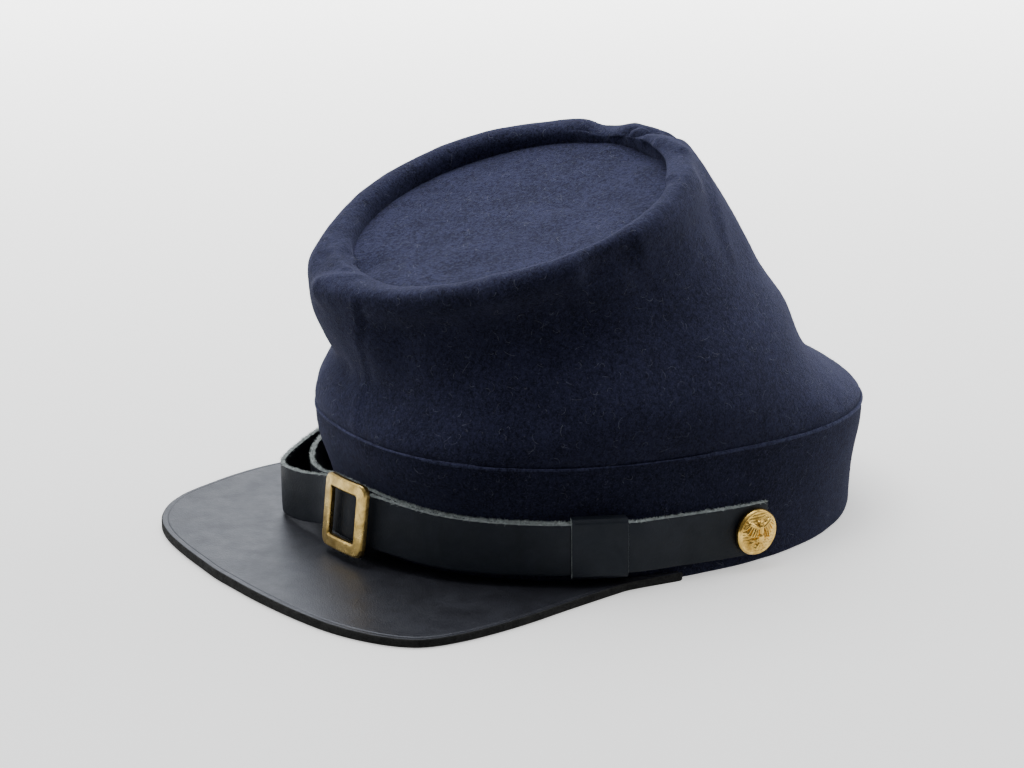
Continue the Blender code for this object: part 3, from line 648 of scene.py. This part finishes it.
def add_fibres(name, mesh, count, length, width, lift, seed, material, accept):
    """Short curved hairs that stand out of a mesh, each made of three triangles."""
    rng = np.random.default_rng(seed)
    root, normal, lie = scatter(mesh, count, rng, accept)
    reach = length * rng.uniform(*HAIR_LENGTHS, count)[:, None]
    raise_by = lift * rng.uniform(*HAIR_LIFTS, count)[:, None]
    heading = lie * np.sqrt(np.maximum(1 - raise_by ** 2, 0.05)) + normal * raise_by
    bend = np.cross(normal, lie) * rng.uniform(*HAIR_BENDS, count)[:, None]
    side = np.cross(heading, normal + lie * 0.3)
    side /= np.maximum(np.linalg.norm(side, axis=1), 1e-9)[:, None]
    half = width * rng.uniform(*HAIR_WIDTHS, count)[:, None] / 2
    middle = root + (heading + bend * 0.4) * reach * 0.5
    tip = root + (heading * 0.9 + bend - normal * raise_by * 0.4) * reach
    vertices = np.stack([root - side * half, root + side * half, middle - side * half * 0.8,
                         middle + side * half * 0.8, tip], axis=1).reshape(-1, 3)
    base = (np.arange(count) * 5)[:, None, None]
    faces = (base + np.array([[0, 1, 3], [0, 3, 2], [2, 3, 4]])).reshape(-1, 3)
    return add_strips(name, vertices, faces, material)


# Wool pieces

def cloth_shift(point, wave):
    """Gentle undulation of felted cloth."""
    place = point / CLOTH_WAVE_SIZE
    return wave * (noise.noise(place) + FINE_WAVE * noise.noise(place * FINE_WAVE_RATE + FINE_WAVE_SHIFT))


def top_plane():
    """Middle of the sunken top, its directions to the left and to the back, and its upright."""
    points = points_of(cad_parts["crown_top"].data)
    middle = points.mean(0)
    upright = np.linalg.svd(points - middle, full_matrices=False)[2][2]
    upright = upright * np.sign(upright[2])
    across = np.cross((0, 1, 0), upright)
    across /= np.linalg.norm(across)
    return middle, across, np.cross(upright, across), upright


def round_top(points):
    """Angle round the sunken top in degrees, distance from its middle and height over it."""
    middle, across, back, upright = top_plane()
    place = points - middle
    left, rear = place @ across, place @ back
    return np.degrees(np.arctan2(rear, left)), np.hypot(left, rear), place @ upright


def rim_crest():
    """The rim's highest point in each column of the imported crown: its distance and its height."""
    angle, reach, height = round_top(points_of(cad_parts["crown_side"].data))
    column = np.round(angle * COLUMNS / 360).astype(int) % COLUMNS
    found = [np.argmax(np.where(column == k, height, -1)) for k in range(COLUMNS)]
    return reach[found], height[found]


def cloth_places(points):
    """Angle round the top in degrees and distance from the rim's crest of points of the crown."""
    angle, reach, height = round_top(points)
    keys = np.arange(COLUMNS + 1) * 360 / COLUMNS
    crest = [np.interp(angle % 360, keys, np.append(values, values[0])) for values in rim_crest()]
    away = np.hypot(reach - crest[0], height - crest[1])
    return angle, np.where(reach < crest[0], away, -away)


def stroke_shift(stroke, angle, run):
    """Outward shift of the cloth by one stroke, at places given by their angle and run from the crest."""
    first = stroke.path[0][0]
    x = ((angle - first + 180) % 360 - 180) * DEGREE
    knots = [(((a - first + 180) % 360 - 180) * DEGREE, v * MM) for a, v in stroke.path]
    nearest = np.full(len(x), 1.0)
    for (ax, ay), (bx, by) in zip(knots, knots[1:]):
        length = (bx - ax) ** 2 + (by - ay) ** 2
        share = np.clip(((x - ax) * (bx - ax) + (run - ay) * (by - ay)) / length, 0, 1)
        nearest = np.minimum(nearest, np.hypot(x - ax - share * (bx - ax), run - ay - share * (by - ay)))
    return stroke.depth * MM * np.exp(-(nearest / (stroke.width * MM)) ** 2)


def fold_cloth(mesh):
    """Moves the crown's cloth along its normals by all strokes; the inside follows the outside."""
    points, normals = points_of(mesh), normals_of(mesh)
    angle, run = cloth_places(points)
    facing = np.where(outside(points, normals) > 0, 1, -1)
    shift = sum(stroke_shift(stroke, angle, run) for stroke in STROKES)
    set_points(mesh, points + normals * (shift * facing)[:, None])


def refine(mesh, chosen):
    """Divides the chosen faces of a mesh once more; chosen(centres, normals) gives a mask."""
    shape = bmesh.new()
    shape.from_mesh(mesh)
    shape.faces.ensure_lookup_table()
    centres = np.array([face.calc_center_median() for face in shape.faces])
    normals = np.array([face.normal for face in shape.faces])
    mask = chosen(centres, normals)
    edges = {edge for face, take in zip(shape.faces, mask) if take for edge in face.edges}
    bmesh.ops.subdivide_edges(shape, edges=list(edges), cuts=1, use_grid_fill=True, smooth=1.0)
    shape.to_mesh(mesh)
    shape.free()


def wool_piece(node, name, material, levels, wave, shape_cloth):
    mesh = from_shape(welded(node), name)
    mesh = with_modifiers(mesh, name, [("SUBSURF", {"levels": levels})])
    shape_cloth(mesh)
    push(mesh, lambda point: cloth_shift(point, wave))
    piece = add_piece(name, mesh, [material])
    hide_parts(node)
    return piece


def shape_crown(mesh):
    """Folds of the crown, and its foot tucked behind the band's top edge."""
    refine(mesh, lambda centres, normals: (outside(centres, normals) > 0)
           & (cloth_places(centres)[1] > -REFINED_RUN))
    fold_cloth(mesh)
    points, normals = points_of(mesh), normals_of(mesh)
    out = outside(points, normals) > 0
    share = np.clip(1 - (points[:, 2] - seam_heights(points)) / TUCK_HEIGHT, 0, 1)
    points[:, :2] -= level_away(points) * (TUCK_DEPTH * share ** 1.5 * out)[:, None]
    points[:, 2] -= TUCK_DROP * share ** 2
    set_points(mesh, points)


def level_away(points):
    """Level direction from the band's middle to each point."""
    away = points[:, :2] - np.array(centre_of("band")[:2])
    return away / np.linalg.norm(away, axis=1)[:, None]


def seam_heights(points):
    """Height of the band's top edge beside each point, as a smooth curve from front to back."""
    band = points_of(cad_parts["band"].data)
    middle = np.array(centre_of("band"))
    angle = np.degrees(np.arctan2(band[:, 1] - middle[1], band[:, 0] - middle[0]))
    found = []
    for key in range(-180, 180, SEAM_STEP):
        near = np.abs((angle - key + 180) % 360 - 180) < SEAM_REACH
        found.append(np.argmax(np.where(near, band[:, 2], -1)))
    curve = np.polyfit(band[found, 1], band[found, 2], 3)
    return np.polyval(curve, points[:, 1])


def shape_band(mesh):
    """The band's top edge as a rounded welt that stands a little proud."""
    points, normals = points_of(mesh), normals_of(mesh)
    share = np.clip(1 - (seam_heights(points) - points[:, 2]) / WELT_HEIGHT, 0, 1)
    out = outside(points, normals * np.array((1, 1, 0))) > 0
    proud = WELT_PROUD * np.sin(np.minimum(share * 1.3, 1) * math.pi / 2) * out
    points[:, :2] += level_away(points) * proud[:, None]
    points[:, 2] += WELT_RISE * share * out
    set_points(mesh, points)


def paint_welt_highlight(mesh):
    """The band's top edge has the second, lighter material: a painted highlight along its rounded top."""
    points = points_of(mesh)
    seam = seam_heights(points)
    for face in mesh.polygons:
        corners = list(face.vertices)
        over = (points[corners, 2] - seam[corners]).mean()
        if over > -WELT_LIT_REACH and face.normal.z > -0.1:
            face.material_index = 1


def shape_top(mesh):
    """The sunken top runs on under the rim's lip, and tucks in at two corners."""
    points = points_of(mesh)
    middle, across, back, upright = top_plane()
    place = points - middle
    level = place - np.outer(place @ upright, upright)
    reach = np.linalg.norm(level, axis=1)
    share = np.clip(reach / reach.max(), 0, 1) ** 6
    points += level / np.maximum(reach, 1e-6)[:, None] * (TOP_REACH * share)[:, None]
    for angle, depth in TOP_TUCKS:
        turn = math.radians(angle)
        corner = middle + (across * math.cos(turn) + back * math.sin(turn)) * reach.max()
        away = np.linalg.norm(points - corner, axis=1)
        points -= np.outer(depth * np.exp(-(away / TUCK_SPREAD) ** 2), upright)
    set_points(mesh, points)


def outside(centres, normals):
    """1 on faces that look away from the cap's middle line or upwards, and 0 on the inside."""
    middle = centre_of("crown_side")
    away = centres[:, :2] - np.array(middle[:2])
    facing = (away * normals[:, :2]).sum(1)
    return ((facing > 0.0) | (normals[:, 2] > OUTSIDE_UP)).astype(float)


# Leather pieces

def leather_piece(node, name, materials, edge_test):
    """A strap or loop with rounded edges; its cut edges have the second material."""
    mesh = from_shape(welded(node), name)
    mesh = with_modifiers(mesh, name, [
        ("BEVEL", {"width": EDGE_ROUND, "segments": 2, "limit_method": "ANGLE", "angle_limit": EDGE_ANGLE}),
        ("SUBSURF", {"levels": 2}),
    ])
    piece = add_piece(name, mesh, materials)
    for face in mesh.polygons:
        face.material_index = 1 if edge_test(face.normal) else 0
    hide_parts(node)
    return piece


def strap_edges(normal):
    """Whether a face of a strap belongs to its upper cut edge with its rounding; only that edge is ragged
    and pale, and the lower cut edge keeps the dark leather as painted shade.
    """
    return normal.z > STRAP_EDGE_UP


def ragged(mesh):
    """Roughens the upper cut edge of a strap, and lets its faces wave a little."""
    points, normals = points_of(mesh), normals_of(mesh)
    for i, (point, normal) in enumerate(zip(points, normals)):
        if strap_edges(Vector(normal)):
            points[i] += normal * RAG_DEPTH * (noise.noise(Vector(point) / RAG_SIZE) + RAG_OUT)
        else:
            points[i] += normal * SLACK * noise.noise(Vector(point) / SLACK_SIZE)
    set_points(mesh, points)


# Visor

def patch_rim(shape, direction, least):
    """Points in order round the patch of faces that look in a direction."""
    patch = {face for face in shape.faces if face.normal.dot(direction) > least}
    following = {}
    for face in patch:
        for loop in face.loops:
            others = [f for f in loop.edge.link_faces if f is not face]
            if any(f not in patch for f in others):
                following[loop.vert] = loop.link_loop_next.vert
    start = next(iter(following))
    order = [start]
    while following[order[-1]] is not start:
        order.append(following[order[-1]])
    return [vertex.co.copy() for vertex in order]


def split_rim(points):
    """The visor's inner and outer edge, both from the wearer's right to the left."""
    count = len(points)
    ends = []
    for side in (-1, 1):
        best = max(range(count), key=lambda i: ((points[i] + points[(i + 1) % count]) / 2).y
                   + (1 if points[i].x * side > 0 else 0))
        ends.append(best)
    runs = []
    for first, last in ((ends[0], ends[1]), (ends[1], ends[0])):
        run = []
        i = (first + 1) % count
        while True:
            run.append(points[i])
            if i == last:
                break
            i = (i + 1) % count
        runs.append(run if run[0].x < run[-1].x else run[::-1])
    inner, outer = sorted(runs, key=lambda run: -min(p.y for p in run))
    return inner, outer


def along(points, share):
    """A point on a smooth curve through a row of points."""
    place = share * (len(points) - 1)
    i = min(int(place), len(points) - 2)
    t = place - i
    a, b, c, d = (points[min(max(i + k, 0), len(points) - 1)] for k in (-1, 0, 1, 2))
    return 0.5 * (2 * b + (c - a) * t + (2 * a - 5 * b + 4 * c - d) * t ** 2
                  + (3 * b - a - 3 * c + d) * t ** 3)


def visor_section(inner, outer, low):
    """Points round the visor at one place, and the number of the material of each following strip."""
    span = (outer - inner).length
    into = Vector((inner.x - outer.x, inner.y - outer.y, 0)) / span
    thick = outer.z - low
    rounding = min(VISOR_ROUND, thick / 3)
    ease = min(1, span * 0.8 / VISOR_BORDER)
    near = [VISOR_ROUND, VISOR_ROUND * 1.6]
    near += [GROOVE_INSET + share * GROOVE_WIDTH for share in GROOVE_ROWS]
    near.append(VISOR_BORDER)
    border = VISOR_BORDER * ease
    flat = [border + (span - border) * share for share in FLAT_ROWS]
    points, marks = [], []
    for distance in reversed([d * ease for d in near] + flat):
        share = distance / span
        dip = GROOVE_DEPTH * math.exp(-((distance - GROOVE_INSET) / (GROOVE_WIDTH * 0.6)) ** 2)
        points.append((distance, (inner.z - outer.z) * share - dip))
        marks.append(0)
    for turn in ROUND_TURNS:
        t = math.radians(turn)
        points.append((rounding * (1 - math.sin(t)) * ease, -rounding * (1 - math.cos(t))))
        marks.append(1)
    for share in CUT_ROWS:
        points.append((0.0, -rounding - (thick - 2 * rounding) * share))
        marks.append(1)
    for distance in (rounding * ease, span * 0.5, span):
        points.append((distance, -thick))
        marks.append(0)
    return [outer + into * distance + Vector((0, 0, height)) for distance, height in points], marks


def add_visor(materials):
    shape = welded("visor")
    rim = patch_rim(shape, Vector((0, 0, 1)), VISOR_UP)
    shape.free()
    inner, outer = split_rim(rim)
    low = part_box("visor")[0].z
    made = bmesh.new()
    rows = []
    for i in range(VISOR_STEPS + 1):
        inside, edge = along(inner, i / VISOR_STEPS), along(outer, i / VISOR_STEPS)
        turn = max(0, 1 - min(i, VISOR_STEPS - i) / (VISOR_STEPS * VISOR_TAPER))
        edge = inside + (edge - inside) * max(math.sqrt(1 - turn ** 2), VISOR_TIP)
        section, marks = visor_section(inside, edge, low)
        rows.append([made.verts.new(point) for point in section])
    for first, second in zip(rows, rows[1:]):
        for k in range(len(first)):
            n = (k + 1) % len(first)
            face = made.faces.new((first[k], first[n], second[n], second[k]))
            face.material_index = marks[k]
    made.faces.new(rows[0])
    made.faces.new(rows[-1])
    bmesh.ops.recalc_face_normals(made, faces=made.faces)
    mesh = from_shape(made, "visor_leather")
    piece = add_piece("visor_leather", mesh, materials)
    mesh.set_sharp_from_angle(angle=VISOR_SHARP)
    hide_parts("visor")


# Metal pieces

def add_buckle(material):
    mesh = from_shape(welded("buckle"), "buckle_brass")
    mesh = with_modifiers(mesh, "buckle_brass", [
        ("REMESH", {"mode": "VOXEL", "voxel_size": BUCKLE_VOXEL, "use_smooth_shade": True}),
        ("SMOOTH", {"factor": BUCKLE_SMOOTHING, "iterations": BUCKLE_PASSES}),
    ])
    piece = add_piece("buckle_brass", mesh, [material])
    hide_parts("buckle")


def rounded_bar(x, y, bar):
    """Height of a rounded bar, from 0 at its edge to 1 along its middle."""
    share = ((x - bar.x0) * (bar.x1 - bar.x0) + (y - bar.y0) * (bar.y1 - bar.y0))
    share /= (bar.x1 - bar.x0) ** 2 + (bar.y1 - bar.y0) ** 2
    share = min(max(share, 0), 1)
    away = math.hypot(x - bar.x0 - share * (bar.x1 - bar.x0), y - bar.y0 - share * (bar.y1 - bar.y0))
    return math.sqrt(max(1 - (away / bar.half) ** 2, 0))


def button_height(x, y):
    """Relief of the button's face, from its middle out to 1 at its edge, as a share of its radius."""
    r = math.hypot(x, y)
    dome = BUTTON_DOME * math.sqrt(max(1 - (r / BUTTON_DOME_REACH) ** 2, 0))
    rim = BUTTON_RIM * math.exp(-((r - BUTTON_RIM_PLACE) / BUTTON_RIM_WIDTH) ** 2)
    bird = RELIEF * max(bar.high * rounded_bar(abs(x), y, bar) for bar in BIRD_BARS)
    field = BUTTON_LINE_DEPTH * math.sin(y * BUTTON_LINES) * (r < BUTTON_LINE_REACH)
    return dome + rim + (bird if bird > 0 else field)


def add_button(node, name, material):
    axis = thin_axis(node)
    points = points_of(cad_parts[node].data)
    depth = points @ np.array(axis)
    back = depth.min()
    flat = points - np.outer(depth, axis)
    middle = Vector(flat.mean(0)) + axis * back
    radius = float(np.linalg.norm(flat - flat.mean(0), axis=1).max())
    up = (Vector((0, 0, 1)) - axis * axis.z).normalized()
    side = up.cross(axis)
    made = bmesh.new()
    rows = []
    turns = [2 * math.pi * s / BUTTON_SPOKES for s in range(BUTTON_SPOKES)]
    for k in range(BUTTON_RINGS + 1):
        r = k / BUTTON_RINGS
        row = []
        for t in turns:
            x, y = r * math.cos(t), r * math.sin(t)
            height = radius * button_height(x, y) + BUTTON_FACE
            row.append(made.verts.new(middle + side * (x * radius) + up * (y * radius) + axis * height))
        rows.append(row)
    for r, height in BUTTON_BACK:
        rows.append([made.verts.new(middle + side * (radius * r * math.cos(t))
                                    + up * (radius * r * math.sin(t)) + axis * height) for t in turns])
    for first, second in zip(rows, rows[1:]):
        for s in range(BUTTON_SPOKES):
            n = (s + 1) % BUTTON_SPOKES
            made.faces.new((first[s], second[s], second[n], first[n]))
    bmesh.ops.remove_doubles(made, verts=made.verts, dist=1e-6)
    made.faces.new(rows[-1])
    bmesh.ops.recalc_face_normals(made, faces=made.faces)
    piece = add_piece(name, from_shape(made, name), [material])
    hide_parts(node)


# Stage

def add_floor():
    bpy.ops.mesh.primitive_plane_add(size=FLOOR_SIZE, location=(0, 0, 0))
    floor = bpy.context.object
    floor.name = "floor"
    material, tree, shader, add = new_material("floor_pale")
    shader.inputs["Base Color"].default_value = (*FLOOR_COLOUR, 1)
    shader.inputs["Roughness"].default_value = 0.9
    shader.inputs["Specular IOR Level"].default_value = 0.1
    shader.inputs["Emission Color"].default_value = (*FLOOR_GLOW_COLOUR, 1)
    share = spread(tree, facing(tree, place_output(add), FLOOR_AWAY), *FLOOR_SPAN)
    share = calculate(tree, "POWER", share, 2)
    glow = spread(tree, share, 0, 1, *FLOOR_GLOW)
    tree.links.new(glow, shader.inputs["Emission Strength"])
    floor.data.materials.append(material)
    floor.visible_diffuse = False


def add_lamp(lamp):
    data = bpy.data.lights.new(lamp.name, "AREA")
    data.shape = "RECTANGLE"
    data.size, data.size_y = lamp.size
    data.energy = lamp.power
    data.color = lamp.colour
    light = bpy.data.objects.new(lamp.name, data)
    light.location = lamp.place
    light.rotation_euler = (Vector(LAMP_TARGET) - Vector(lamp.place)).to_track_quat("-Z", "Y").to_euler()
    bpy.context.scene.collection.objects.link(light)


def add_camera():
    azimuth, elevation, roll = (math.radians(v) for v in (VIEW_AZIMUTH, VIEW_ELEVATION, VIEW_ROLL))
    back = Vector((math.sin(azimuth) * math.cos(elevation), -math.cos(azimuth) * math.cos(elevation),
                   math.sin(elevation)))
    level = Vector((math.cos(azimuth), math.sin(azimuth), 0))
    upright = back.cross(level)
    right = level * math.cos(roll) + upright * math.sin(roll)
    up = upright * math.cos(roll) - level * math.sin(roll)
    data = bpy.data.cameras.new("camera")
    data.lens = VIEW_LENS
    data.clip_start, data.clip_end = VIEW_CLIP
    camera = bpy.data.objects.new("camera", data)
    turned = Matrix((right, up, back)).transposed().to_4x4()
    camera.matrix_world = Matrix.Translation(VIEW_AIM + back * VIEW_DISTANCE) @ turned
    bpy.context.scene.collection.objects.link(camera)
    bpy.context.scene.camera = camera


def add_world():
    """Soft studio surroundings: bright behind the cap and above it, dim on the camera's side."""
    world = bpy.data.worlds.new("studio")
    world.use_nodes = True
    tree = world.node_tree
    background = tree.nodes["Background"]
    background.inputs["Color"].default_value = (*WORLD_COLOUR, 1)
    direction = tree.nodes.new("ShaderNodeTexCoord").outputs["Generated"]
    glow = spread(tree, facing(tree, direction, WORLD_BRIGHT_SIDE), *WORLD_SPAN, *WORLD_GLOW)
    tree.links.new(glow, background.inputs["Strength"])
    bpy.context.scene.world = world


def build():
    hairs = fibre_material(*NAVY_HAIRS)
    lint = fibre_material(*LINT_HAIRS)
    raw_hairs = fibre_material(*RAW_HAIRS)
    strap_leather = leather_material(*STRAP_LEATHER)
    raw_edge = edge_material(*RAW_EDGE)
    gilt = brass_material(*GILT)

    cloths = {
        # The walls take the darker wool and the sunken top the lighter copy: painted shade and painted light
        "crown_side": wool_piece("crown_side", "crown_wool", wool_material(*SHADED_CROWN_WOOL), 2, CLOTH_WAVE,
                                 shape_crown),
        "crown_top": wool_piece("crown_top", "crown_top_wool", wool_material(*LIT_TOP_WOOL), 3, CLOTH_WAVE,
                                shape_top),
        "band": wool_piece("band", "band_wool", wool_material(*BAND_WOOL), 2, BAND_WAVE, shape_band),
    }
    # The band's top edge takes the lighter welt wool: a painted highlight
    cloths["band"].data.materials.append(wool_material(*LIT_WELT_WOOL))
    paint_welt_highlight(cloths["band"].data)
    for nap in NAPS:
        add_fibres(nap.name, cloths[nap.node].data, nap.count, NAP_LENGTH, NAP_WIDTH, nap.lift, nap.seed,
                   hairs, outside)
    for curls in LINTS:
        add_curls(curls.name, cloths[curls.node].data, curls.count, curls.seed, lint)

    add_visor([leather_material(*VISOR_LEATHER), edge_material(*VISOR_EDGE)])
    for node, name in STRAPS:
        # Only the upper cut edges take the raw edge colour; the lower ones keep the dark leather as painted
        # shade
        strap = leather_piece(node, name, [strap_leather, raw_edge], strap_edges)
        ragged(strap.data)
        add_fibres(name + "_fuzz", strap.data, FUZZ_COUNT, FUZZ_LENGTH, FUZZ_WIDTH, FUZZ_LIFT, FUZZ_SEED,
                   raw_hairs,
                   lambda centres, normals: (normals[:, 2] > STRAP_EDGE_UP).astype(float))
    level = thin_axis("keeper").cross(Vector((0, 0, 1))).normalized()
    leather_piece("keeper", "keeper_leather", [strap_leather, raw_edge],
                  lambda normal: abs(normal.dot(level)) > KEEPER_EDGE)
    add_buckle(brass_material(*BRASS))
    add_button("button_left", "button_left_gilt", gilt)
    add_button("button_right", "button_right_gilt", gilt)

    add_floor()
    add_world()
    for lamp in LIGHTS:
        add_lamp(lamp)
    add_camera()


build()
